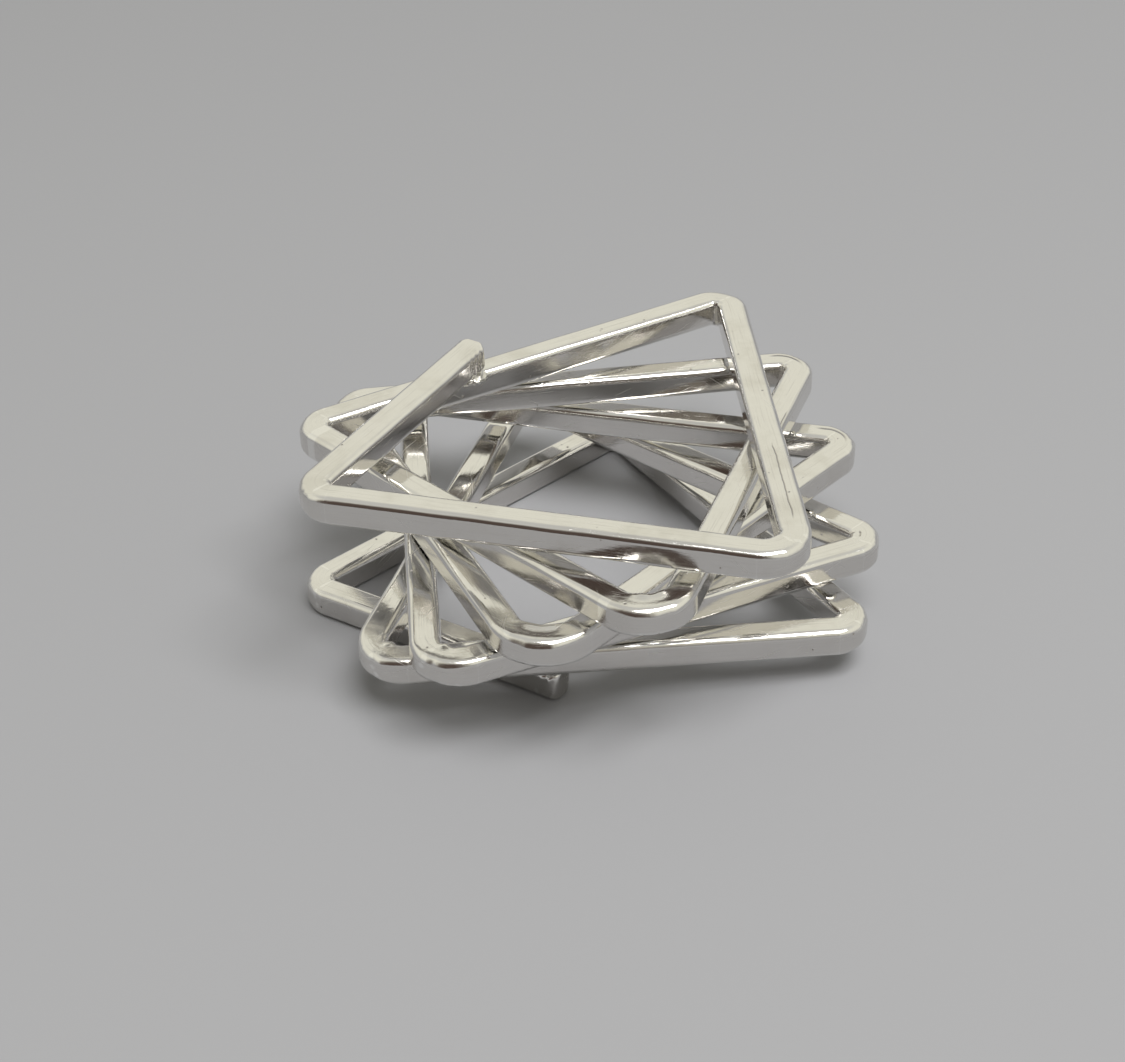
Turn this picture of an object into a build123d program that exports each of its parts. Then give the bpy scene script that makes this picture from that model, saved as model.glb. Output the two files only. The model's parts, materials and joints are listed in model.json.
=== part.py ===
from build123d import *
from math import atan2, cos, degrees, radians, sin, tan
import os

# A coil of square wire, bent into triangular turns that stack up around a round finger hole.
# Each turn is turned back a little against the one above it, so the corners fan out.
#
# Frame: the coil's axis is Z, and the level underside of the bottom turn is at Z = 0.
# Bends and legs are numbered along the wire from its top end. Leg 1 runs from bend 1 to bend 2.
# Lengths are in millimetres and angles in degrees.

# Driving dimensions
CORNER_RADIUS = 18.0    # coil axis to where the centre lines of two legs meet, in general
AXIS_Y = -0.6           # the coil's axis, placed so that the origin is in the middle of the outline
WIRE = 1.8              # the wire's width and height
EDGE_ROUND = 0.35       # rounding along the wire's four long edges
SHARP_BEND_INSIDE = 0.25    # inside radius of most bends
BLUNT_BEND_INSIDE = {2: 0.8, 5: 1.2, 8: 1.5, 11: 0.9, 14: 0.9}  # the bends that are less sharp
PITCH = 2.1             # how far the wire drops over one turn
BENDS_PER_TURN = 3
END_DROP = WIRE         # drop of the last sloping leg, down to the level bottom turn
TOP_END_SHARE = 0.60    # the top end's length, as a share of a whole leg
BOTTOM_END_SHARE = 0.62
TIP_ROUND = 0.55        # rounding of the two cut ends, seen from above
FLEX_GAP = 0.02         # clearance where a flexing leg meets its lower bend
SOLDER_RADIUS = 1.1     # reach of a solder joint around the crossing of two wires
SOLDER_FROM_TIP = 0.9   # a solder joint's middle is at least this far back from the cut end
SOLDER_FLATNESS = 0.45  # its height as a share of its width

# Where the corners of each turn point, seen from above and counter-clockwise from +X, and how much
# farther out than CORNER_RADIUS each one lies. The coil is bent by hand, so its turns don't step
# back by equal angles and its corners don't quite lie on one circle.
CORNERS_BY_TURN = (
    ((207, 0), (307, 0.1), (60, 1.1)),
    ((171, -0.6), (281, 0), (39, 0)),
    ((149, 0), (259, 0), (17, -0.8)),
    ((129, 0), (239, 0), (350, -0.7)),
    ((103, 0), (221, -0.2), (331, -0.2)),
    ((83, 0), (181, -0.7)),
)
TOP_END_FROM = 92       # the top end comes from the direction of a corner that was never bent
BOTTOM_END_TOWARDS = 295

# The two end turns are soldered shut. Only the legs between them flex.
FIRST_FLEX_LEG = 4
LAST_FLEX_LEG = 13


def corner_point(direction, farther_out=0):
    """Plan position of a corner that points in this direction."""
    angle = radians(direction)
    radius = CORNER_RADIUS + farther_out
    return Vector(radius * cos(angle), AXIS_Y + radius * sin(angle), 0)


# The corners in order along the wire, with the two unbent corners that the ends aim at.
CORNERS = [corner_point(TOP_END_FROM)]
CORNERS += [corner_point(*corner) for turn in CORNERS_BY_TURN for corner in turn]
CORNERS += [corner_point(BOTTOM_END_TOWARDS)]
BEND_COUNT = len(CORNERS) - 2
LEG_DROP = PITCH / BENDS_PER_TURN
LAST_SLOPING_LEG = BEND_COUNT - 2


def leg_direction(leg):
    """Unit vector along a leg in plan. Leg 0 is the top end."""
    return (CORNERS[leg + 1] - CORNERS[leg]).normalized()


def bend_level(bend):
    """Height of the wire's centre line at a bend. Every bend lies level."""
    levels_above = max(0, LAST_SLOPING_LEG - bend)
    drop = END_DROP if bend <= LAST_SLOPING_LEG else 0
    return WIRE / 2 + drop + levels_above * LEG_DROP


def bend_angle(bend):
    """How far the wire turns at a bend, counter-clockwise from above."""
    before = leg_direction(bend - 1)
    after = leg_direction(bend)
    return degrees(atan2(before.X * after.Y - before.Y * after.X, before.dot(after)))


def bend_radius(bend):
    """Radius of a bend, at the wire's centre line."""
    return BLUNT_BEND_INSIDE.get(bend, SHARP_BEND_INSIDE) + WIRE / 2


def bend_reach(bend):
    """Length of leg that a bend takes up on each side of its corner."""
    return bend_radius(bend) * tan(radians(bend_angle(bend) / 2))


def bend_mouth(bend, after):
    """Centre of the wire where a bend begins, or where it ends if after is true."""
    direction = leg_direction(bend) if after else leg_direction(bend - 1) * -1
    point = CORNERS[bend] + direction * bend_reach(bend)
    return Vector(point.X, point.Y, bend_level(bend))


def wire_section(center, direction):
    """The wire's upright cross section, facing along a level direction."""
    sideways = Vector(-direction.Y, direction.X, 0)
    return Plane(origin=center, x_dir=sideways, z_dir=direction) * RectangleRounded(WIRE, WIRE, EDGE_ROUND)


def straight_wire(start, end):
    """A straight length of wire with upright ends, which may slope."""
    run = end - start
    level_direction = Vector(run.X, run.Y, 0).normalized()
    return extrude(wire_section(start, level_direction), amount=run.length, dir=run.normalized())


def make_bend(bend):
    """One bend: the wire's section swept level round a corner."""
    start = bend_mouth(bend, after=False)
    direction = leg_direction(bend - 1)
    inward = Vector(-direction.Y, direction.X, 0)
    center = start + inward * bend_radius(bend)
    turning_axis = Axis((center.X, center.Y, center.Z), (0, 0, 1))
    return revolve(wire_section(start, direction), axis=turning_axis, revolution_arc=bend_angle(bend))


def make_leg(leg):
    """One straight leg between two bends."""
    start = bend_mouth(leg, after=True)
    end = bend_mouth(leg + 1, after=False)
    if FIRST_FLEX_LEG <= leg <= LAST_FLEX_LEG:
        end = end - (end - start).normalized() * FLEX_GAP
    return straight_wire(start, end)


def round_tip(wire, tip, outward):
    """Round the two upright corners of a cut end."""
    tip_block = extrude(
        Plane.XY.offset(tip.Z - 2 * WIRE) * Rectangle(2 * CORNER_RADIUS, WIRE),
        amount=4 * WIRE,
    )
    end_face = tip_block.faces().sort_by(Axis.X)[-1]
    tip_block = fillet(end_face.edges().filter_by(Axis.Z), TIP_ROUND)
    heading = degrees(atan2(outward.Y, outward.X))
    placed = Location((tip.X, tip.Y, 0), (0, 0, heading)) * (Pos(-CORNER_RADIUS, 0, 0) * tip_block)
    return wire & placed


def top_end_tip():
    """Centre of the wire at its top cut end. The end keeps climbing at the coil's slope."""
    plan = CORNERS[1] + (CORNERS[0] - CORNERS[1]) * TOP_END_SHARE
    return Vector(plan.X, plan.Y, bend_level(1) + LEG_DROP * TOP_END_SHARE)


def bottom_end_tip():
    """Centre of the wire at its bottom cut end, level with the last bend."""
    plan = CORNERS[-2] + (CORNERS[-1] - CORNERS[-2]) * BOTTOM_END_SHARE
    return Vector(plan.X, plan.Y, bend_level(BEND_COUNT))


def make_top_end():
    """The short leg that lies over leg 3."""
    tip = top_end_tip()
    wire = straight_wire(bend_mouth(1, after=False), tip)
    return round_tip(wire, tip, leg_direction(0) * -1)


def make_bottom_end():
    """The short leg that runs out under leg 14."""
    tip = bottom_end_tip()
    wire = straight_wire(bend_mouth(BEND_COUNT, after=True), tip)
    return round_tip(wire, tip, leg_direction(BEND_COUNT))


def crossing(leg_a, leg_b):
    """Plan point where the centre lines of two legs cross."""
    start = CORNERS[leg_a]
    along = leg_direction(leg_a)
    other = leg_direction(leg_b)
    offset = CORNERS[leg_b] - start
    distance = (offset.X * other.Y - offset.Y * other.X) / (along.X * other.Y - along.Y * other.X)
    return start + along * distance


def solder_point(end_leg, leg, tip):
    """Plan point of a solder joint: where the wires cross, or just short of the tip."""
    meeting = crossing(end_leg, leg)
    plan_tip = Vector(tip.X, tip.Y, 0)
    inward = leg_direction(0) if end_leg == 0 else leg_direction(end_leg) * -1
    if (meeting - plan_tip).dot(inward) > SOLDER_FROM_TIP:
        return meeting
    return plan_tip + inward * SOLDER_FROM_TIP


def make_solder(end_leg, leg, tip, wires):
    """Solder that fills the narrow gap where an end crosses a leg, and laps up both wires' sides."""
    plan = solder_point(end_leg, leg, tip)
    span = (CORNERS[leg + 1] - CORNERS[leg]).length
    share = (plan - CORNERS[leg]).dot(leg_direction(leg)) / span
    leg_level = bend_level(leg) + (bend_level(leg + 1) - bend_level(leg)) * share
    middle = (leg_level + tip.Z) / 2
    blob = scale(Sphere(SOLDER_RADIUS), by=(1, 1, SOLDER_FLATNESS))
    solder = Pos(plan.X, plan.Y, middle) * blob
    for wire in wires:
        solder = solder - wire
    return solder


def build_nodes():
    """Every named piece of the coil."""
    nodes = {"top_end_leg": make_top_end(), "bottom_end_leg": make_bottom_end()}
    for bend in range(1, BEND_COUNT + 1):
        nodes[f"bend_{bend:02d}"] = make_bend(bend)
    for leg in range(1, BEND_COUNT):
        nodes[f"leg_{leg:02d}"] = make_leg(leg)
    top_pair = (nodes["top_end_leg"], nodes["leg_03"])
    bottom_pair = (nodes["bottom_end_leg"], nodes["leg_14"])
    nodes["top_end_solder"] = make_solder(0, 3, top_end_tip(), top_pair)
    nodes["bottom_end_solder"] = make_solder(BEND_COUNT, 14, bottom_end_tip(), bottom_pair)
    return nodes


os.makedirs("parts", exist_ok=True)
for name, shape in build_nodes().items():
    export_step(shape, f"parts/{name}.step")
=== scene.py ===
import json
from math import atan2, cos, exp, hypot, pi, radians, sin, sqrt, tan
import random

import bmesh
import bpy
import numpy as np
from mathutils import Matrix, Vector, noise


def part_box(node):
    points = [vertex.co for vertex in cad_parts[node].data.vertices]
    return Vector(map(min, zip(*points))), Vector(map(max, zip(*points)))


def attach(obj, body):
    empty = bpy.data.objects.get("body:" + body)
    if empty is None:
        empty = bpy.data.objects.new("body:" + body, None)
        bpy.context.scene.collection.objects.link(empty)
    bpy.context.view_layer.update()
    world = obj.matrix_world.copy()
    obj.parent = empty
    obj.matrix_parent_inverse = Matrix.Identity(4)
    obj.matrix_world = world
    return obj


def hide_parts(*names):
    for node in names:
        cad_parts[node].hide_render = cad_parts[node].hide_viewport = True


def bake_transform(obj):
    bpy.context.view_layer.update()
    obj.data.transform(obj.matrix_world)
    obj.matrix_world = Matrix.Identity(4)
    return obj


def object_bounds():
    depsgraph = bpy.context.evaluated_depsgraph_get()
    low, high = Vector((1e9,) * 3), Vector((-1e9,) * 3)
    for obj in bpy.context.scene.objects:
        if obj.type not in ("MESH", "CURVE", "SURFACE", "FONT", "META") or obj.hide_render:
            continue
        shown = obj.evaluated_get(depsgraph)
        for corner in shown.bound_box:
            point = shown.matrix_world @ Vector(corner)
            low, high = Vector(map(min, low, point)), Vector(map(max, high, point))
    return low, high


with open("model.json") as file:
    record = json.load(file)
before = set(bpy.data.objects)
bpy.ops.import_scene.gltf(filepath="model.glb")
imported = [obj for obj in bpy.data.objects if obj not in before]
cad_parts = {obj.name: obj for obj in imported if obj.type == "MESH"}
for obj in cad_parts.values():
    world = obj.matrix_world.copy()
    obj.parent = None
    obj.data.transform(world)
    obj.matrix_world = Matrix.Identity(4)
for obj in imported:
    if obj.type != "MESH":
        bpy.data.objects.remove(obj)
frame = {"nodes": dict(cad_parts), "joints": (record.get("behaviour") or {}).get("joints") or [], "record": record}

# The looks of a coil of bright square wire, bent into stacked triangular turns.
# The CAD frame gives every leg's and bend's place. Lengths are in metres, in the CAD's frame.

MM = 0.001
CAD_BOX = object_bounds()
NODES = frame["nodes"]
BEND_COUNT = sum(name.startswith("bend_") for name in NODES)
TOP_END = "top_end_leg"
BOTTOM_END = "bottom_end_leg"
SOLDERS = ("top_end_solder", "bottom_end_solder")

# ---------------------------------------------------------------------------
# The wire's own sizes
# ---------------------------------------------------------------------------
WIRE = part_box("bend_01")[1][2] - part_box("bend_01")[0][2]
HALF = WIRE / 2
EDGE_ROUND = 0.22 * WIRE        # rounding of the four long edges
TIP_ROUND = 0.30 * WIRE         # rounding of the cut ends, seen from above
TIP_EDGE = 0.10 * WIRE          # rounding over the top and bottom of the cut ends

# How the surface departs from a perfect square bar
CROWN = 0.008 * MM              # drawn wire is a little fuller in the middle of each face
WAVE = 0.014 * MM               # slow ripples along each face, left by bending and polishing
WAVE_LENGTHS = (3.3 * MM, 5.9 * MM, 10.7 * MM)
FACE_PHASE = 1.7                # keeps the ripples of the four faces from lining up
LENGTH_PHASE = 2.3              # and those of the three lengths
TWIST = radians(2.2)            # most that a leg's faces lean, half-way along it
BOTTOM_END_TWIST = radians(-2.0)    # lean of the two cut ends
TOP_END_TWIST = radians(-3.0)
TWIST_SEED = 100                # the leg's number is added to this
BEND_SWELL = 0.075 * MM         # metal squeezed up on the inside of a bend
BEND_SINK = 0.20 * MM           # metal drawn down on the outside of a bend
FACETING = 0.25                 # how nearly the outside of a bend is a run of flats
FACETS = 3
FACET_SCATTER = 0.07            # how far their corners stray from even spacing, as a share of the bend
CREASES = 3                     # stretch marks over the outside of a bend
CREASE_DEPTH = 0.035 * MM
CREASE_WIDTH = 0.045            # as a share of the bend
CREASE_PLACES = (0.25, 0.75)    # the shares of the bend between which they lie
CREASE_STRENGTHS = (0.4, 1.0)
LUMP = 0.09 * MM                # metal pushed up unevenly on the inside of the blunt bends
SMALL_LUMP = LUMP / 6           # and of the others
LUMP_COUNT = 2                  # lumps and hollows round one bend
LUMP_SLANT = 2.0                # how far a lump's top runs ahead of its middle, in radians
BLUNT_FROM = 0.98 * WIRE        # a bend with a larger centre-line radius than this is blunt
FULL_FROM = 1.12 * WIRE         # from this radius on, the metal inside a bend is heaped up in two lobes
FULL_SWELL = 0.23 * MM
HEAP_RAMP = 0.33                # share of the bend over which the heap rises, and falls
LOBE_DEPTH = 0.16               # how far it dips between the lobes
LOBE_GAP = 0.09                 # and how wide that dip is, as a share of the bend

# Mesh fineness
STATION_STEP = 0.35 * MM
BEND_STATIONS = 56
EDGE_SEGMENTS = 6
FLAT_SHARES = (-0.94, -0.75, -0.5, -0.25, 0.0, 0.25, 0.5, 0.75, 0.94)
HOLD = 0.01 * MM                # first and last step of each piece, so that neighbours shade alike
TIP_STEP = 0.08 * MM            # station step where a cut end is rippled
TIP_STEPS = 12                  # stations over its rounding

# Reading the CAD's straight bars
FACE_DEPTH = 0.05 * MM          # points this near to the farthest one belong to the end face
DIRECTION_REFINEMENTS = 3


# ---------------------------------------------------------------------------
# Reading the wire's path from the frame
# ---------------------------------------------------------------------------
def plan(point):
    """A point as seen from above."""
    return Vector((point[0], point[1]))


def leg_name(leg):
    """Leg 0 is the top end and the last leg is the bottom end."""
    if leg == 0:
        return TOP_END
    return BOTTOM_END if leg == BEND_COUNT else f"leg_{leg:02d}"


def end_center(points, direction, sign):
    """Centre of the end face that a straight bar has on one side."""
    along = points[:, :2] @ direction * sign
    face = points[along > along.max() - FACE_DEPTH]
    across = face[:, :2] @ np.array((-direction[1], direction[0]))
    sideways = (across.min() + across.max()) / 2
    level = (face[:, 2].min() + face[:, 2].max()) / 2
    spot = direction * along.max() * sign + np.array((-direction[1], direction[0])) * sideways
    return np.array((spot[0], spot[1], level))


def bar_ends(node):
    """The two end centres of a straight CAD bar."""
    points = np.array([vertex.co for vertex in NODES[node].data.vertices])
    flat = points[:, :2] - points[:, :2].mean(axis=0)
    direction = np.linalg.svd(flat, full_matrices=False)[2][0]
    for _ in range(DIRECTION_REFINEMENTS):
        low = end_center(points, direction, -1)
        high = end_center(points, direction, 1)
        direction = (high - low)[:2] / np.linalg.norm((high - low)[:2])
    return Vector(low), Vector(high)


def box_center(node):
    low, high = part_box(node)
    return (Vector(low) + Vector(high)) / 2


def read_leg(leg):
    """A leg's start and end on the centre line, in the order of the wire from its top end."""
    ends = bar_ends(leg_name(leg))
    before_bend = box_center(f"bend_{max(leg, 1):02d}")
    near, far = sorted(ends, key=lambda end: (end - before_bend).length)
    return (far, near) if leg == 0 else (near, far)


LEGS = [read_leg(leg) for leg in range(BEND_COUNT + 1)]


def leg_heading(leg):
    """Unit vector in plan along a leg."""
    start, end = LEGS[leg]
    return (plan(end) - plan(start)).normalized()


def cross_2d(a, b):
    """Positive where b points to the left of a."""
    return a.x * b.y - a.y * b.x


def lines_meet(point_a, along_a, point_b, along_b):
    """Where two lines in plan cross."""
    return point_a + along_a * (cross_2d(point_b - point_a, along_b) / cross_2d(along_a, along_b))


class Bend:
    """A level bend between two legs, as an arc in plan."""

    def __init__(self, bend):
        before, after = leg_heading(bend - 1), leg_heading(bend)
        corner = lines_meet(plan(LEGS[bend - 1][0]), before, plan(LEGS[bend][0]), after)
        reach = (plan(LEGS[bend][0]) - corner).length
        self.turn = atan2(cross_2d(before, after), before.dot(after))
        self.radius = reach / tan(self.turn / 2)
        self.level = LEGS[bend][0].z
        self.heading = atan2(before.y, before.x)
        start = corner - before * reach
        self.start = Vector((start.x, start.y, self.level))
        self.center = start + Vector((-before.y, before.x)) * self.radius
        self.length = self.radius * self.turn

    def station(self, share):
        """Centre of the wire and its heading, this share of the way round."""
        heading = self.heading + self.turn * share
        outward = Vector((sin(heading), -cos(heading)))
        spot = self.center + outward * self.radius
        return Vector((spot.x, spot.y, self.level)), heading


BENDS = {bend: Bend(bend) for bend in range(1, BEND_COUNT + 1)}


def leg_span(leg):
    """The visible leg reaches right up to the bends on both sides."""
    start, end = LEGS[leg]
    if leg < BEND_COUNT:
        end = BENDS[leg + 1].start
    return start, end


def wire_positions():
    """Distance along the wire at which every leg and bend starts."""
    distance, legs, bends = 0.0, {}, {}
    for leg in range(BEND_COUNT + 1):
        legs[leg] = distance
        start, end = leg_span(leg)
        distance += (plan(end) - plan(start)).length
        if leg < BEND_COUNT:
            bends[leg + 1] = distance
            distance += BENDS[leg + 1].length
    return legs, bends


LEG_POSITION, BEND_POSITION = wire_positions()


# ---------------------------------------------------------------------------
# The wire's cross section
# ---------------------------------------------------------------------------
class SectionPoint:
    """One point of the section: across is towards the coil's axis, up is up."""

    def __init__(self, across, up, faces):
        self.across = across
        self.up = up
        self.faces = faces      # how much the point belongs to (inner, top, outer, bottom)


def square_section():
    """A square with rounded edges, counter-clockwise seen along the wire."""
    flat = HALF - EDGE_ROUND
    points = []
    for side in range(4):
        turn = side * pi / 2
        facing = [float(side == face) for face in range(4)]
        for share in FLAT_SHARES:
            points.append(rotated_point(HALF, flat * share, turn, facing))
        for step in range(EDGE_SEGMENTS + 1):
            angle = pi / 2 * step / EDGE_SEGMENTS
            across = flat + EDGE_ROUND * cos(angle)
            up = flat + EDGE_ROUND * sin(angle)
            blend = step / EDGE_SEGMENTS
            facing = [0.0] * 4
            facing[side] = 1 - blend
            facing[(side + 1) % 4] = blend
            points.append(rotated_point(across, up, turn, facing))
    return points


def rotated_point(across, up, turn, faces):
    """A section point turned about the wire's centre."""
    return SectionPoint(across * cos(turn) - up * sin(turn), across * sin(turn) + up * cos(turn), faces)


SECTION = square_section()
FACE_NORMALS = ((1, 0), (0, 1), (-1, 0), (0, -1))


def section_lengths():
    """Distance round the section at each point, with the whole way round at the end."""
    lengths, total = [], 0.0
    for here, there in zip(SECTION, SECTION[1:] + SECTION[:1]):
        lengths.append(total)
        total += hypot(there.across - here.across, there.up - here.up)
    return lengths + [total]


AROUND = section_lengths()
POINTS_PER_SIDE = len(SECTION) // 4
TOP_MIDDLE = POINTS_PER_SIDE + len(FLAT_SHARES) // 2


# ---------------------------------------------------------------------------
# How the real surface departs from the ideal bar
# ---------------------------------------------------------------------------
def slow_wave(position, face):
    """Slow ripples along one face. Both pieces at a join read the same value."""
    total = 0.0
    for order, length in enumerate(WAVE_LENGTHS):
        total += sin(2 * pi * position / length + FACE_PHASE * face + LENGTH_PHASE * order)
    return WAVE * total / len(WAVE_LENGTHS)


def bump_shape(share):
    """Rises from nothing at both mouths of a bend to one in the middle."""
    return sin(pi * min(max(share, 0), 1)) ** 2


def plateau(share, ramp):
    """One along the middle, falling smoothly to nothing over a ramp at both ends."""
    near = min(share, 1 - share, ramp) / ramp
    return near * near * (3 - 2 * near)


def crease(share, creases):
    """Stretch marks across a bend: each is (place, depth)."""
    return sum(depth * exp(-((share - place) / CREASE_WIDTH) ** 2) for place, depth in creases)


def facet_cut(share, corners, arc):
    """How far the flats of a bend's outside lie inside its true arc."""
    after = next(number for number, corner in enumerate(corners) if corner >= share)
    low, high = corners[max(after, 1) - 1], corners[max(after, 1)]
    half = (high - low) / 2 * arc.turn
    off = (share - (low + high) / 2) * arc.turn
    return FACETING * (arc.radius + HALF) * (1 - cos(half) / cos(off))


class BendMarks:
    """The marks that bending has left on one bend. Every bend has its own."""

    def __init__(self, bend):
        chance = random.Random(bend)
        self.arc = BENDS[bend]
        self.creases = [
            (chance.uniform(*CREASE_PLACES), chance.uniform(*CREASE_STRENGTHS)) for _ in range(CREASES)
        ]
        inner = [
            number / FACETS + chance.uniform(-FACET_SCATTER, FACET_SCATTER) for number in range(1, FACETS)
        ]
        self.corners = [0.0] + inner + [1.0]
        self.lump = LUMP if BLUNT_FROM < self.arc.radius < FULL_FROM else SMALL_LUMP
        self.lump_turn = chance.uniform(0, 2 * pi)

    def swell(self, share):
        """How high the metal stands along the inside of the bend."""
        if self.arc.radius < FULL_FROM:
            return BEND_SWELL * bump_shape(share)
        dip = LOBE_DEPTH * exp(-((share - 0.5) / LOBE_GAP) ** 2)
        return FULL_SWELL * plateau(share, HEAP_RAMP) * (1 - dip)

    def shift(self, point, share):
        """How far the metal has moved (across, up) at one point of the section."""
        shape = bump_shape(share)
        inside = max(0.0, point.across / HALF)
        outside = max(0.0, -point.across / HALF)
        upright = point.up / HALF
        mark = CREASE_DEPTH * crease(share, self.creases) * outside ** 3 * shape
        phase = 2 * pi * LUMP_COUNT * share + self.lump_turn - LUMP_SLANT * upright
        lumps = self.lump * inside ** 2 * shape * sin(phase)
        rise = self.swell(share) * inside ** 1.5 - BEND_SINK * outside ** 3 * shape
        across = (facet_cut(share, self.corners, self.arc) + mark) * outside ** 2 + lumps
        up = (rise - mark + lumps * max(0.0, upright)) * upright
        return across, up


def leg_twist(leg, share):
    """How far a leg's section is turned about its centre line. It dies away at both ends."""
    return TWIST * random.Random(TWIST_SEED + leg).uniform(-1, 1) * sin(pi * share) ** 2


def end_twist(leg, share):
    """A cut end leans more and more towards its tip."""
    most = TOP_END_TWIST if leg == 0 else BOTTOM_END_TWIST
    return most * sin(pi / 2 * share) ** 2


def twisted(pair, angle):
    """A place in the section (across, up), turned about the wire's centre."""
    across, up = pair
    return across * cos(angle) - up * sin(angle), across * sin(angle) + up * cos(angle)


def surface_point(point, position, bend_share=None, bend_marks=None):
    """One section point with ripples, crown and the bend's own changes: (across, up)."""
    across, up = point.across, point.up
    for face, (normal_across, normal_up) in enumerate(FACE_NORMALS):
        belongs = point.faces[face]
        if not belongs:
            continue
        sideways = (point.up if normal_across else point.across) / HALF
        out = belongs * (slow_wave(position, face) + CROWN * (1 - sideways ** 2))
        across += out * normal_across
        up += out * normal_up
    if bend_marks:
        shift = bend_marks.shift(point, bend_share)
        across += shift[0]
        up += shift[1]
    return across, up


# ---------------------------------------------------------------------------
# Turning stations along the wire into a closed mesh
# ---------------------------------------------------------------------------
class Station:
    """One section along the wire."""

    def __init__(self, center, heading, position, points, marks=0.0):
        self.center = center
        self.heading = heading
        self.position = position
        self.points = points    # (across, up) of each section point
        self.marks = marks      # how strongly this place is marked by bending, 0 to 1


def place(station, across, up):
    """A section point's place in the frame. Nothing reaches below the level that the coil rests on."""
    inward = Vector((-sin(station.heading), cos(station.heading), 0))
    point = station.center + inward * across + Vector((0, 0, up))
    point.z = max(point.z, 0.0)
    return point


def mesh_object(name, vertices, faces, flat_faces):
    """A smooth-shaded object with the listed faces kept flat and sharp-edged."""
    mesh = bpy.data.meshes.new(name)
    mesh.from_pydata(vertices, [], faces)
    mesh.update()
    mesh.shade_smooth()
    sharp_keys = set()
    for index in flat_faces:
        face = mesh.polygons[index]
        face.use_smooth = False
        sharp_keys.update(face.edge_keys)
    for edge in mesh.edges:
        edge.use_edge_sharp = tuple(sorted(edge.vertices)) in sharp_keys
    item = bpy.data.objects.new(name, mesh)
    bpy.context.scene.collection.objects.link(item)
    return item


def sweep(name, stations):
    """A closed solid through the stations, with the place on the wire as its UV map, in millimetres."""
    ring = len(SECTION)
    vertices = [place(station, *pair) for station in stations for pair in station.points]
    faces, uvs = [], []
    for row in range(len(stations) - 1):
        near, far = stations[row].position / MM, stations[row + 1].position / MM
        for column in range(ring):
            after = (column + 1) % ring
            first, second = row * ring + column, row * ring + after
            faces.append((first, second, second + ring, first + ring))
            low, high = AROUND[column] / MM, AROUND[column + 1] / MM
            uvs += [(near, low), (near, high), (far, high), (far, low)]
    last = (len(stations) - 1) * ring
    faces.append(tuple(reversed(range(ring))))
    faces.append(tuple(last + column for column in range(ring)))
    for row in (0, len(stations) - 1):
        uvs += [(stations[row].position / MM, AROUND[column] / MM) for column in range(ring)]
    item = mesh_object(name, vertices, faces, (len(faces) - 2, len(faces) - 1))
    layer = item.data.uv_layers.new(name="wire_map")
    layer.data.foreach_set("uv", np.array(uvs, dtype=np.float32).ravel())
    strengths = np.repeat([station.marks for station in stations], ring)
    marks = item.data.attributes.new("bend_marks", "FLOAT", "POINT")
    marks.data.foreach_set("value", strengths.astype(np.float32))
    return item


def spaced(length, step):
    """Distances from nothing to length, evenly spaced, with a tiny first and last step."""
    count = max(4, round(length / step))
    inner = [length * number / count for number in range(1, count)]
    return [0.0, HOLD] + inner + [length - HOLD, length]


MARKS_REACH = 0.9 * WIRE        # how fast the marks of bending fade along a leg


def leg_marks(distance, length):
    """The marks of bending fade out away from the bends."""
    from_end = min(distance, length - distance)
    return exp(-from_end / MARKS_REACH)


def leg_stations(leg):
    """Stations of a whole leg, from bend to bend."""
    start, end = leg_span(leg)
    length = (plan(end) - plan(start)).length
    heading = atan2(end.y - start.y, end.x - start.x)
    stations = []
    for distance in spaced(length, STATION_STEP):
        position = LEG_POSITION[leg] + distance
        twist = leg_twist(leg, distance / length)
        points = [twisted(surface_point(point, position), twist) for point in SECTION]
        center = start.lerp(end, distance / length)
        stations.append(Station(center, heading, position, points, leg_marks(distance, length)))
    return stations


def bend_stations(bend):
    """Stations round a bend."""
    arc = BENDS[bend]
    marks = BendMarks(bend)
    stations = []
    for distance in spaced(arc.length, arc.length / BEND_STATIONS):
        share = distance / arc.length
        center, heading = arc.station(share)
        position = BEND_POSITION[bend] + distance
        points = [surface_point(point, position, share, marks) for point in SECTION]
        stations.append(Station(center, heading, position, points, 1.0))
    return stations


RIPPLE = 0.050 * MM             # solder run up the side of a soldered end
RIPPLE_LENGTH = 0.50 * MM
RIPPLE_REACH = 2.4 * MM
RIPPLE_SLANT = 3.0              # how far a ripple's edges run ahead of its middle, in radians


def tip_insets(from_tip):
    """How far the sides, and the top and bottom, draw in near a cut end."""
    insets = []
    for rounding in (TIP_ROUND, TIP_EDGE):
        left = max(0.0, rounding - from_tip)
        insets.append(rounding - sqrt(max(0.0, rounding ** 2 - left ** 2)))
    return insets


def solder_ripple(point, from_tip):
    """Ripples on the sides of a soldered end, dying away from the tip."""
    side = point.faces[0] + point.faces[2]
    fade = max(0.0, 1 - from_tip / RIPPLE_REACH)
    wave = sin(2 * pi * from_tip / RIPPLE_LENGTH + RIPPLE_SLANT * point.up / HALF)
    return RIPPLE * side * fade * wave


def end_distances(length):
    """Distances from the bend to the tip, finer where the tip is rounded."""
    plain = [distance for distance in spaced(length, STATION_STEP) if distance < length - RIPPLE_REACH]
    rippled = np.arange(length - RIPPLE_REACH, length - TIP_ROUND, TIP_STEP).tolist()
    rounded = [length - TIP_ROUND * (1 - sin(pi / 2 * step / TIP_STEPS)) for step in range(TIP_STEPS + 1)]
    return plain + rippled + rounded


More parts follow.
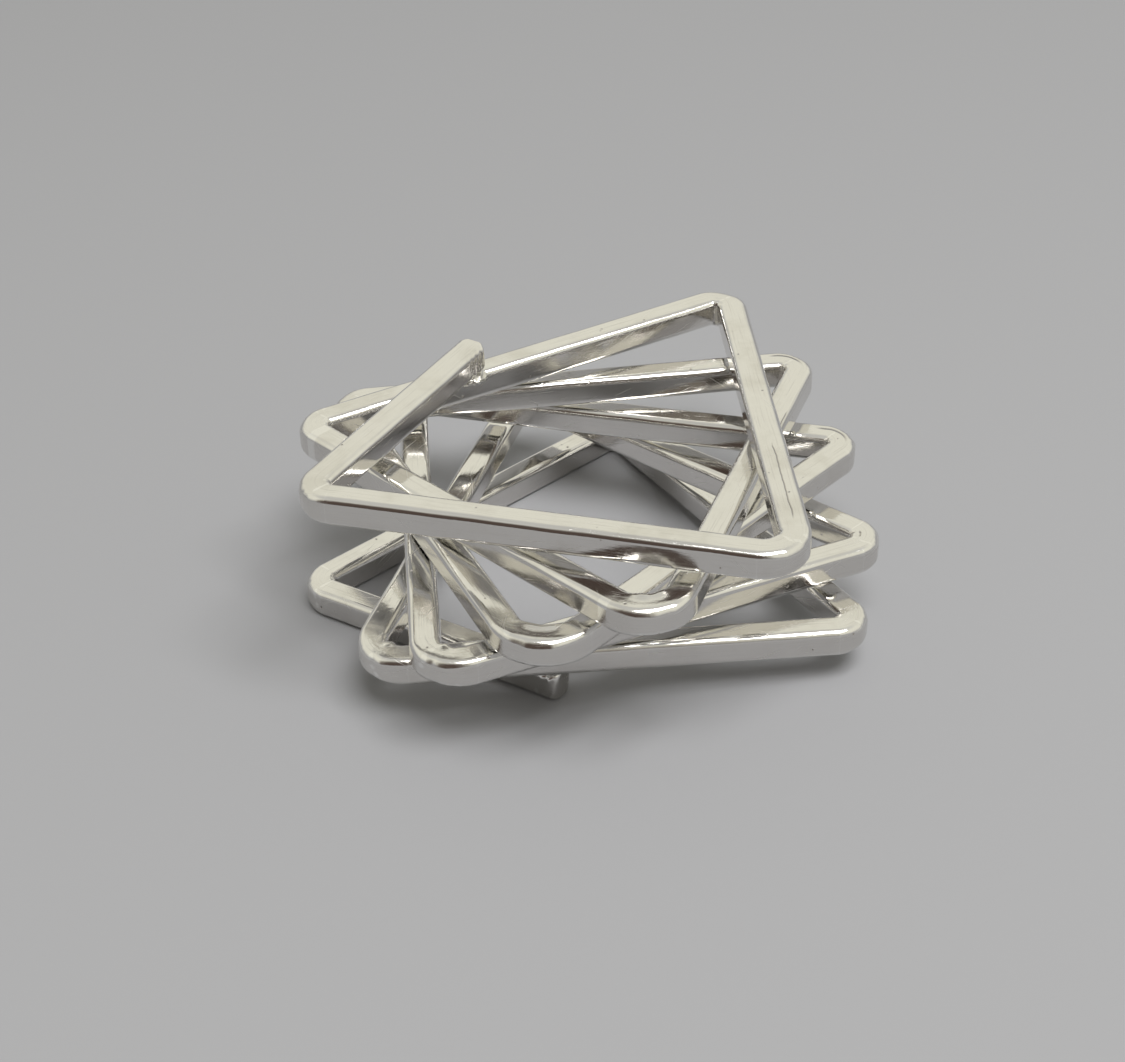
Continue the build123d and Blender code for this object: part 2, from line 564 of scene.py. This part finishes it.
def end_stations(leg):
    """Stations of a cut end, from its bend to its tip."""
    start, end = leg_span(leg)
    if leg == 0:
        start, end = end, start
    length = (plan(end) - plan(start)).length
    heading = atan2(end.y - start.y, end.x - start.x)
    sign = -1 if leg == 0 else 1
    first = LEG_POSITION[leg] + (length if leg == 0 else 0)
    stations = []
    for distance in end_distances(length):
        from_tip = length - distance
        side_inset, top_inset = tip_insets(from_tip)
        points = []
        for point in SECTION:
            across, up = surface_point(point, first + sign * distance)
            across *= 1 - side_inset / HALF
            up *= 1 - top_inset / HALF
            across += solder_ripple(point, from_tip) * (1 if point.across > 0 else -1)
            points.append(twisted((across, up), end_twist(leg, distance / length)))
        center = start.lerp(end, distance / length)
        marks = max(leg_marks(distance, length), exp(-from_tip / WIRE))
        stations.append(Station(center, heading, first + sign * distance, points, marks))
    if leg > 0:
        return stations
    # The top end runs against the wire's direction, so turn its stations round.
    for station in stations:
        station.heading += pi
    return list(reversed(stations))


# ---------------------------------------------------------------------------
# Solder
# ---------------------------------------------------------------------------
SOLDER_SUBDIVISIONS = 5
SOLDER_LUMPS = 0.17             # as a share of the solder's radius
SOLDER_LUMP_SIZE = 0.9 * MM
SOLDER_OCTAVES = ((1, 1.0), (3, 0.5), (7, 0.22))    # how much finer, and how strong
SOLDER_SEED = 7.3
SOLDER_SEED_STEP = 5.1


def make_solder(name, node, seed):
    """A puddle of melted solder between two crossing wires, with a rippled skin."""
    low, high = (Vector(corner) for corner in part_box(node))
    center, radii = (low + high) / 2, (high - low) / 2
    form = bmesh.new()
    bmesh.ops.create_icosphere(form, subdivisions=SOLDER_SUBDIVISIONS, radius=1.0)
    for vertex in form.verts:
        direction = vertex.co.normalized()
        place_in_noise = direction * (radii.x / SOLDER_LUMP_SIZE) + Vector((seed, seed, seed))
        lump = 1.0
        for finer, share in SOLDER_OCTAVES:
            lump += SOLDER_LUMPS * share * noise.noise(place_in_noise * finer)
        vertex.co = Vector(direction[axis] * radii[axis] * lump for axis in range(3)) + center
    mesh = bpy.data.meshes.new(name)
    form.to_mesh(mesh)
    form.free()
    mesh.shade_smooth()
    item = bpy.data.objects.new(name, mesh)
    bpy.context.scene.collection.objects.link(item)
    return item


# ---------------------------------------------------------------------------
# Materials
# ---------------------------------------------------------------------------
class Nodes:
    """A short way to write a node tree."""

    def __init__(self, owner):
        owner.use_nodes = True
        self.tree = owner.node_tree
        self.tree.nodes.clear()

    def add(self, kind, inputs=None, **settings):
        node = self.tree.nodes.new(kind)
        for name, value in settings.items():
            setattr(node, name, value)
        for name, value in (inputs or {}).items():
            self.feed(node.inputs[name], value)
        return node

    def feed(self, socket, value):
        if isinstance(value, bpy.types.NodeSocket):
            self.tree.links.new(value, socket)
        else:
            socket.default_value = value

    def math(self, operation, a, b=0.0, c=0.0):
        node = self.add("ShaderNodeMath", operation=operation)
        for socket, value in zip(node.inputs, (a, b, c)):
            self.feed(socket, value)
        return node.outputs[0]

    def stretch(self, vector, scale, turn=0.0):
        """Coordinates turned by some degrees and then stretched."""
        turned = self.add("ShaderNodeMapping", {"Vector": vector, "Rotation": (0, 0, radians(turn))})
        scaled = self.add("ShaderNodeMapping", {"Vector": turned.outputs[0], "Scale": scale})
        return scaled.outputs[0]

    def noise(self, vector, scale, detail=2.0, roughness=0.5):
        inputs = {"Vector": vector, "Scale": scale, "Detail": detail, "Roughness": roughness}
        return self.add("ShaderNodeTexNoise", inputs).outputs["Fac"]

    def ramp(self, value, low, high):
        """Nothing below low, one above high, smooth between."""
        inputs = {"Value": value, "From Min": low, "From Max": high}
        node = self.add("ShaderNodeMapRange", inputs, interpolation_type="SMOOTHSTEP")
        return node.outputs[0]

    def mix(self, share, a, b):
        """Colour a where share is nothing, and b where it is one."""
        node = self.add("ShaderNodeMix", data_type="RGBA")
        self.feed(node.inputs[0], share)
        self.feed(node.inputs[6], a)
        self.feed(node.inputs[7], b)
        return node.outputs[2]

    def strongest(self, masks):
        """The strongest of some masks at each place."""
        total = masks[0]
        for mask in masks[1:]:
            total = self.math("MAXIMUM", total, mask)
        return total

    def place_in_mm(self):
        """Where a point lies on its piece, in millimetres."""
        where = self.add("ShaderNodeTexCoord").outputs["Object"]
        scaled = self.add("ShaderNodeVectorMath", {0: where, 1: (1 / MM,) * 3}, operation="MULTIPLY")
        return scaled.outputs[0]

    def sum_up(self, start, marks, strengths):
        """Start plus every mark times its strength."""
        total = start
        for name, strength in strengths.items():
            total = self.math("MULTIPLY_ADD", marks[name], strength, total)
        return total

    def metal(self, tone, rough, height, bump_strength):
        """Finish the tree as metal. Height is in millimetres."""
        bump = self.add("ShaderNodeBump", {"Height": height, "Distance": MM, "Strength": bump_strength})
        surface = self.add("ShaderNodeBsdfPrincipled", {
            "Base Color": tone,
            "Metallic": 1.0,
            "Roughness": rough,
            "Normal": bump.outputs[0],
        })
        self.add("ShaderNodeOutputMaterial", {"Surface": surface.outputs[0]})


# --- Plated wire. The UV map runs along the wire in X and round it in Y, in millimetres.
PLATING = (0.80, 0.79, 0.765, 1)
PLATING_DULL = (0.72, 0.705, 0.67, 1)
# Painted highlight along the edges that bend outwards
PLATING_EDGE_HIGHLIGHT = (0.90, 0.895, 0.88, 1)
# Colour of the drawing streaks, and also of the painted shade on the upright side faces
PLATING_STREAK_AND_SIDE_SHADE = (0.60, 0.575, 0.55, 1)
PIT_COLOR = (0.28, 0.25, 0.22, 1)
# Painted shade in the folds on the legs, and painted reflection of the wire above on the bends
FOLD_SHADE_AND_REFLECTION_COLOR = (0.30, 0.27, 0.24, 1)

# The layers of colour over the plating: (mark, how strong, colour)
COLOR_LAYERS = (
    ("smudges", 1.0, PLATING_DULL),
    ("streaks", 0.40, PLATING_STREAK_AND_SIDE_SHADE),
    # Painted shade: the upright side faces are darkened, the top and bottom faces are not
    ("sides", 0.55, PLATING_STREAK_AND_SIDE_SHADE),
    ("pits", 0.7, PIT_COLOR),
    # Painted shade along the folds, and painted reflections of the wire above on the bends
    ("folds_and_painted_reflections", 0.6, FOLD_SHADE_AND_REFLECTION_COLOR),
    # Painted highlight: the edges that bend outwards are made paler
    ("painted_edge_highlights", 0.6, PLATING_EDGE_HIGHLIGHT),
)
PLATING_ROUGHNESS = 0.05
ROUGHENING = {
    "smudges": 0.07,
    "rough_grain": 0.05,
    "sides": 0.03,
    "hairlines": 0.22,
    "pits": 0.35,
    "crushed": 0.12,
    "rough_streaks": 0.08,
}
RELIEF = {                      # in millimetres
    "orange_peel": 0.0030,
    "drawing": 0.0032,
    "grain": 0.0010,
    "hairlines": -0.0012,
    "pits": -0.020,
    "folds_and_painted_reflections": -0.030,
    "crushed": 0.0060,
}

DRAWING_STRETCH = (0.30, 9, 1)  # long lines left by drawing the wire through its die
GRAIN_STRETCH = (3.0, 14, 1)    # shorter ones left by polishing
SMUDGE_SCALE = 0.33
PEEL_SCALE = 2.6
CRUSHED_SCALE = 6.0
PIT_SPACING = 1.3
PIT_CHOICE_SCALE = 0.8

# Where each pattern begins to count as a mark, and where it counts in full
STREAKS = (0.50, 0.72)
ROUGH_STREAKS = (0.45, 0.75)
ROUGH_GRAIN = (0.45, 0.70)
SMUDGES = (0.45, 0.75)
# The upright side faces get painted shade in the colour and a little more roughness
SIDES = (0.60, 0.15)            # of how nearly the surface faces straight up or down
# Where the painted edge highlight begins and where it is full
EDGE_HIGHLIGHT_RAMP = (0.51, 0.56)       # of how sharply the surface bends outwards
PITS = (0.13, 0.05)             # of the distance from a pit's middle
PIT_CHOICE = (0.55, 0.60)

# Hairlines: (direction in degrees, how close together, threshold of the noise)
SCRATCHES = ((24, 9, 0.70), (-38, 7, 0.72), (4, 11, 0.71))
SCRATCH_STRETCH = 0.22
SCRATCH_SOFTNESS = 0.05

# Dark lines along the wire's top face: (piece of wire, where it starts and ends along that piece, how far
# across the wire it runs, from -1 at its outer side to 1 at its inner side, and how wide it is in mm).
# On the legs they are fine folds, whose dark colour is painted shade in the crease; on the bends the dark
# line is a painted reflection of the underside of the wire above, carved in like a fold.
FOLDS_AND_PAINTED_REFLECTIONS = (
    ("leg_02", 0.02, 0.34, -0.05, 0.06),
    ("leg_05", 0.62, 0.80, -0.75, 0.06),
    ("bend_06", 0.20, 1.30, -0.30, 0.12),
    ("bend_09", 0.20, 1.40, -0.30, 0.12),
    ("bend_12", 0.25, 0.75, 0.30, 0.09),
)
FOLD_AND_REFLECTION_WANDER = 0.30              # how far it strays to the sides, in mm
FOLD_AND_REFLECTION_WANDER_STRETCH = (0.5, 0, 0)
FOLD_AND_REFLECTION_FADE = 0.8                 # length over which it fades out, in mm


def scratches(nodes, uv, turn, density, threshold):
    """Hairlines in one direction: 1 on a scratch, 0 off it."""
    lines = nodes.noise(nodes.stretch(uv, (SCRATCH_STRETCH, density, 1), turn), 1.0, detail=1.0)
    return nodes.ramp(lines, threshold, threshold + SCRATCH_SOFTNESS)


def pits(nodes, mm):
    """Small round pits, here and there."""
    spots = nodes.add("ShaderNodeTexVoronoi", {"Vector": mm, "Scale": PIT_SPACING}).outputs["Distance"]
    chosen = nodes.ramp(nodes.noise(mm, PIT_CHOICE_SCALE), *PIT_CHOICE)
    return nodes.math("MULTIPLY", nodes.ramp(spots, *PITS), chosen)


def wire_place(piece, share):
    """Distance along the wire, this share of the way along a leg or bend."""
    kind, number = piece.split("_")
    if kind == "bend":
        return BEND_POSITION[int(number)] + BENDS[int(number)].length * share
    start, end = LEGS[int(number)]
    return LEG_POSITION[int(number)] + (end - start).length * share


def fold_and_reflection_line(nodes, axes, wander, piece, start, end, across, width):
    """One where the dark line runs, nothing elsewhere."""
    low, high = (wire_place(piece, share) / MM for share in (start, end))
    middle = (AROUND[TOP_MIDDLE] - across * HALF) / MM
    place_across = nodes.math("MULTIPLY_ADD", wander, FOLD_AND_REFLECTION_WANDER, middle - FOLD_AND_REFLECTION_WANDER / 2)
    away = nodes.math("ABSOLUTE", nodes.math("SUBTRACT", axes["Y"], place_across))
    line = nodes.ramp(away, width, 0.0)
    fade = min(FOLD_AND_REFLECTION_FADE, (high - low) / 3)
    begins = nodes.ramp(axes["X"], low, low + fade)
    ends = nodes.ramp(axes["X"], high, high - fade)
    return nodes.math("MULTIPLY", line, nodes.math("MULTIPLY", begins, ends))


def all_folds_and_painted_reflections(nodes, uv):
    """Every dark line, the folds and the painted reflections alike, each straying to the sides by the same slow
    noise.
    """
    axes = nodes.add("ShaderNodeSeparateXYZ", {"Vector": uv}).outputs
    wander = nodes.noise(nodes.stretch(uv, FOLD_AND_REFLECTION_WANDER_STRETCH), 1.0, detail=3.0)
    return nodes.strongest([fold_and_reflection_line(nodes, axes, wander, *entry) for entry in FOLDS_AND_PAINTED_REFLECTIONS])


def wire_marks(nodes):
    """Every kind of mark on the wire: smooth patterns around a half, and masks from nothing to one."""
    uv = nodes.add("ShaderNodeUVMap", uv_map="wire_map").outputs[0]
    mm = nodes.place_in_mm()
    bending = nodes.add("ShaderNodeAttribute", attribute_name="bend_marks").outputs["Fac"]
    geometry = nodes.add("ShaderNodeNewGeometry").outputs
    facing_up = nodes.add("ShaderNodeSeparateXYZ", {"Vector": geometry["Normal"]}).outputs["Z"]
    drawing = nodes.noise(nodes.stretch(uv, DRAWING_STRETCH), 1.0, detail=4.0, roughness=0.62)
    grain = nodes.noise(nodes.stretch(uv, GRAIN_STRETCH), 1.0, detail=3.0, roughness=0.6)
    smudging = nodes.noise(mm, SMUDGE_SCALE, detail=3.0, roughness=0.6)
    crushing = nodes.noise(mm, CRUSHED_SCALE, detail=3.0, roughness=0.65)
    return {
        "drawing": drawing,
        "streaks": nodes.ramp(drawing, *STREAKS),
        "rough_streaks": nodes.ramp(drawing, *ROUGH_STREAKS),
        "grain": grain,
        "rough_grain": nodes.ramp(grain, *ROUGH_GRAIN),
        "sides": nodes.ramp(nodes.math("ABSOLUTE", facing_up), *SIDES),
        "smudges": nodes.ramp(smudging, *SMUDGES),
        "orange_peel": nodes.noise(mm, PEEL_SCALE),
        "pits": pits(nodes, mm),
        "hairlines": nodes.strongest([scratches(nodes, uv, *scratch) for scratch in SCRATCHES]),
        "folds_and_painted_reflections": all_folds_and_painted_reflections(nodes, uv),
        "crushed": nodes.math("MULTIPLY", crushing, nodes.math("POWER", bending, 2.0)),
        "painted_edge_highlights": nodes.ramp(geometry["Pointiness"], *EDGE_HIGHLIGHT_RAMP),
    }


def plated_metal():
    """Bright silver-toned plating over polished wire, with drawing lines, hairlines, pits, a painted highlight
    along the edges, painted shade on the upright sides, and dark lines that are painted shade in folds and painted
    reflections on the bends.
    """
    material = bpy.data.materials.new("plated_wire")
    nodes = Nodes(material)
    marks = wire_marks(nodes)
    tone = PLATING
    for mark, strength, color in COLOR_LAYERS:
        tone = nodes.mix(nodes.math("MULTIPLY", marks[mark], strength), tone, color)
    rough = nodes.sum_up(PLATING_ROUGHNESS, marks, ROUGHENING)
    height = nodes.sum_up(0.0, marks, RELIEF)
    nodes.metal(tone, rough, height, 1.0)
    return material


# --- Solder
SOLDER_BRIGHT = (0.84, 0.83, 0.79, 1)
SOLDER_SKIN = (0.60, 0.585, 0.55, 1)
SOLDER_ROUGHNESS = 0.10
SOLDER_ROUGHENING = {"skin": 0.20, "grain": 0.10}
SOLDER_RELIEF = {"grain": 0.010, "ripples": 0.030}  # in millimetres
SOLDER_BUMP = 0.8
SOLDER_RIPPLES = {"Scale": 0.9, "Distortion": 3.5, "Detail": 2.0}
SOLDER_GRAIN_SCALE = 9.0
SOLDER_SKIN_SCALE = 1.6
SOLDER_SKIN_PATCHES = (0.40, 0.65)


def solder_metal():
    """Solder that has run and set: bright, rippled, with a dull skin in places."""
    material = bpy.data.materials.new("solder")
    nodes = Nodes(material)
    mm = nodes.place_in_mm()
    ripples = nodes.add("ShaderNodeTexWave", {"Vector": mm, **SOLDER_RIPPLES})
    marks = {
        "ripples": ripples.outputs["Fac"],
        "grain": nodes.noise(mm, SOLDER_GRAIN_SCALE, detail=4.0, roughness=0.6),
        "skin": nodes.ramp(nodes.noise(mm, SOLDER_SKIN_SCALE), *SOLDER_SKIN_PATCHES),
    }
    tone = nodes.mix(marks["skin"], SOLDER_BRIGHT, SOLDER_SKIN)
    rough = nodes.sum_up(SOLDER_ROUGHNESS, marks, SOLDER_ROUGHENING)
    height = nodes.sum_up(0.0, marks, SOLDER_RELIEF)
    nodes.metal(tone, rough, height, SOLDER_BUMP)
    return material


# --- Floor
PAPER = (0.44, 0.445, 0.465, 1)
PAPER_ROUGHNESS = 0.9
PAPER_SHEEN = 0.2


def floor_paper():
    """A plain pale matt sheet."""
    material = bpy.data.materials.new("floor_paper")
    nodes = Nodes(material)
    surface = nodes.add("ShaderNodeBsdfPrincipled", {
        "Base Color": PAPER,
        "Roughness": PAPER_ROUGHNESS,
        "Specular IOR Level": PAPER_SHEEN,
    })
    nodes.add("ShaderNodeOutputMaterial", {"Surface": surface.outputs[0]})
    return material


# ---------------------------------------------------------------------------
# Building the wire
# ---------------------------------------------------------------------------
PLATED = plated_metal()
SOLDER = solder_metal()
NODES_OF_BODY = frame["record"]["behaviour"]["bodies"]
BODY_OF = {node: body for body, nodes in NODES_OF_BODY.items() for node in nodes}
FLEXING = {joint["name"].removesuffix("_flex"): joint for joint in frame["joints"]}


def stand_for(item, node, material):
    """Give a piece its finish and let it stand for its CAD node."""
    item.data.materials.append(material)
    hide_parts(node)
    return item


def build_legs():
    """Every leg. A leg that flexes keeps its place in the frame and is attached to no body; every other leg goes
    with its body.
    """
    for leg in range(BEND_COUNT + 1):
        node = leg_name(leg)
        is_end = leg in (0, BEND_COUNT)
        item = sweep(f"wire_{node}", end_stations(leg) if is_end else leg_stations(leg))
        stand_for(item, node, PLATED)
        if node in FLEXING:
            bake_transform(item)
        else:
            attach(item, BODY_OF[node])


def build_bends():
    for bend in range(1, BEND_COUNT + 1):
        node = f"bend_{bend:02d}"
        item = stand_for(sweep(f"wire_{node}", bend_stations(bend)), node, PLATED)
        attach(item, BODY_OF[node])


def build_solder():
    for number, node in enumerate(SOLDERS):
        item = make_solder(f"melted_{node}", node, SOLDER_SEED + SOLDER_SEED_STEP * number)
        stand_for(item, node, SOLDER)
        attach(item, BODY_OF[node])


build_legs()
build_bends()
build_solder()

# ---------------------------------------------------------------------------
# Floor, light and camera
# ---------------------------------------------------------------------------
COIL_HEIGHT = CAD_BOX[1][2]
RADIUS = 10 * WIRE              # the circle that the coil's corners lie on
AXIS_Y = -WIRE / 3              # the coil's axis stands a little in front of the frame's origin
FLOOR_SIZE = 200 * RADIUS

# The key light, high on the right in front of the coil
KEY_DIRECTION = (308, 66)       # azimuth and elevation
KEY_DISTANCE = 32 * RADIUS
KEY_SIZE = (23 * RADIUS, 15 * RADIUS)
KEY_WATTS = 2.6
KEY_COLOR = (1.0, 0.99, 0.98)

# The room around it. Heights are the upward part of the direction that one looks in.
ROOM_SHINE = 0.9                # how bright the room is in the metal
ROOM_FILL = 0.45                # and how much it lights the floor
LOW_WALL = (0.42, 0.42, 0.43, 1)
WALL = (0.94, 0.92, 0.80, 1)
WALL_TOP = 0.42                 # height at which the wall is at its palest
CEILING = (0.66, 0.65, 0.61, 1)
CEILING_HEIGHTS = (0.65, 0.95)
DIM_SIDE = (0.105, 0.078, 0.066, 1)
DIM_DIRECTION = (248, 18)       # azimuth and elevation of the middle of the room's dim side
DIM_REACH = (0.66, 0.94)        # where it begins and is full, as cosines of the angle from its middle


def add_floor():
    half = FLOOR_SIZE / 2
    mesh = bpy.data.meshes.new("floor")
    corners = [(-half, -half, 0), (half, -half, 0), (half, half, 0), (-half, half, 0)]
    mesh.from_pydata(corners, [], [(0, 1, 2, 3)])
    mesh.materials.append(floor_paper())
    floor = bpy.data.objects.new("floor", mesh)
    bpy.context.scene.collection.objects.link(floor)


def direction_of(azimuth, elevation):
    """Unit vector towards a place in the studio. Azimuth is counter-clockwise from +X."""
    a, e = radians(azimuth), radians(elevation)
    return Vector((cos(a) * cos(e), sin(a) * cos(e), sin(e)))


def add_key_light():
    light = bpy.data.lights.new("key", "AREA")
    light.shape = "RECTANGLE"
    light.size, light.size_y = KEY_SIZE
    light.energy = KEY_WATTS
    light.color = KEY_COLOR
    item = bpy.data.objects.new("key", light)
    item.location = direction_of(*KEY_DIRECTION) * KEY_DISTANCE
    item.rotation_euler = (-item.location).to_track_quat("-Z", "Y").to_euler()
    bpy.context.scene.collection.objects.link(item)


def add_room():
    """A cream room, greyer low down, and dim on the side where the camera stands."""
    world = bpy.data.worlds.new("studio")
    bpy.context.scene.world = world
    nodes = Nodes(world)
    ray = nodes.add("ShaderNodeTexCoord").outputs["Generated"]
    height = nodes.add("ShaderNodeSeparateXYZ", {"Vector": ray}).outputs["Z"]
    wall = nodes.mix(nodes.ramp(height, 0.0, WALL_TOP), LOW_WALL, WALL)
    room = nodes.mix(nodes.ramp(height, *CEILING_HEIGHTS), wall, CEILING)
    dim_middle = direction_of(*DIM_DIRECTION)
    nearness = nodes.add("ShaderNodeVectorMath", {0: ray, 1: dim_middle}, operation="DOT_PRODUCT")
    color = nodes.mix(nodes.ramp(nearness.outputs["Value"], *DIM_REACH), room, DIM_SIDE)
    scattered = nodes.add("ShaderNodeLightPath").outputs["Is Diffuse Ray"]
    strength = nodes.math("MULTIPLY_ADD", scattered, ROOM_FILL - ROOM_SHINE, ROOM_SHINE)
    background = nodes.add("ShaderNodeBackground", {"Color": color, "Strength": strength})
    nodes.add("ShaderNodeOutputWorld", {"Surface": background.outputs[0]})


SENSOR_WIDTH = 36.0
LENS = 68.3
CAMERA_DISTANCE = 7.085         # in corner circles' radii
CAMERA_ELEVATION = 33.8
CAMERA_ROLL = -1.54
AIM_RIGHT = 0.091               # how far right of the picture's middle the aim point sits, in radii
AIM_UP = 0.151                  # and how far above it
AIM_SHARE = 0.565               # height of the aim point, as a share of the coil's height


def add_camera():
    """A camera in front of the coil, looking down at it."""
    elevation = radians(CAMERA_ELEVATION)
    roll = radians(CAMERA_ROLL)
    back = Vector((0, -cos(elevation), sin(elevation)))
    level_up = back.cross(Vector((1, 0, 0)))
    right = Vector((1, 0, 0)) * cos(roll) + level_up * sin(roll)
    up = back.cross(right)
    aim = Vector((0, AXIS_Y, AIM_SHARE * COIL_HEIGHT))
    camera = bpy.data.cameras.new("camera")
    camera.sensor_width = SENSOR_WIDTH
    camera.lens = LENS
    camera.clip_start = MM
    item = bpy.data.objects.new("camera", camera)
    item.matrix_world = Matrix((right, up, back)).transposed().to_4x4()
    item.location = aim + (back * CAMERA_DISTANCE - right * AIM_RIGHT - up * AIM_UP) * RADIUS
    bpy.context.scene.collection.objects.link(item)
    bpy.context.scene.camera = item


add_floor()
add_room()
add_key_light()
add_camera()
bpy.context.scene.view_settings.view_transform = "Standard"
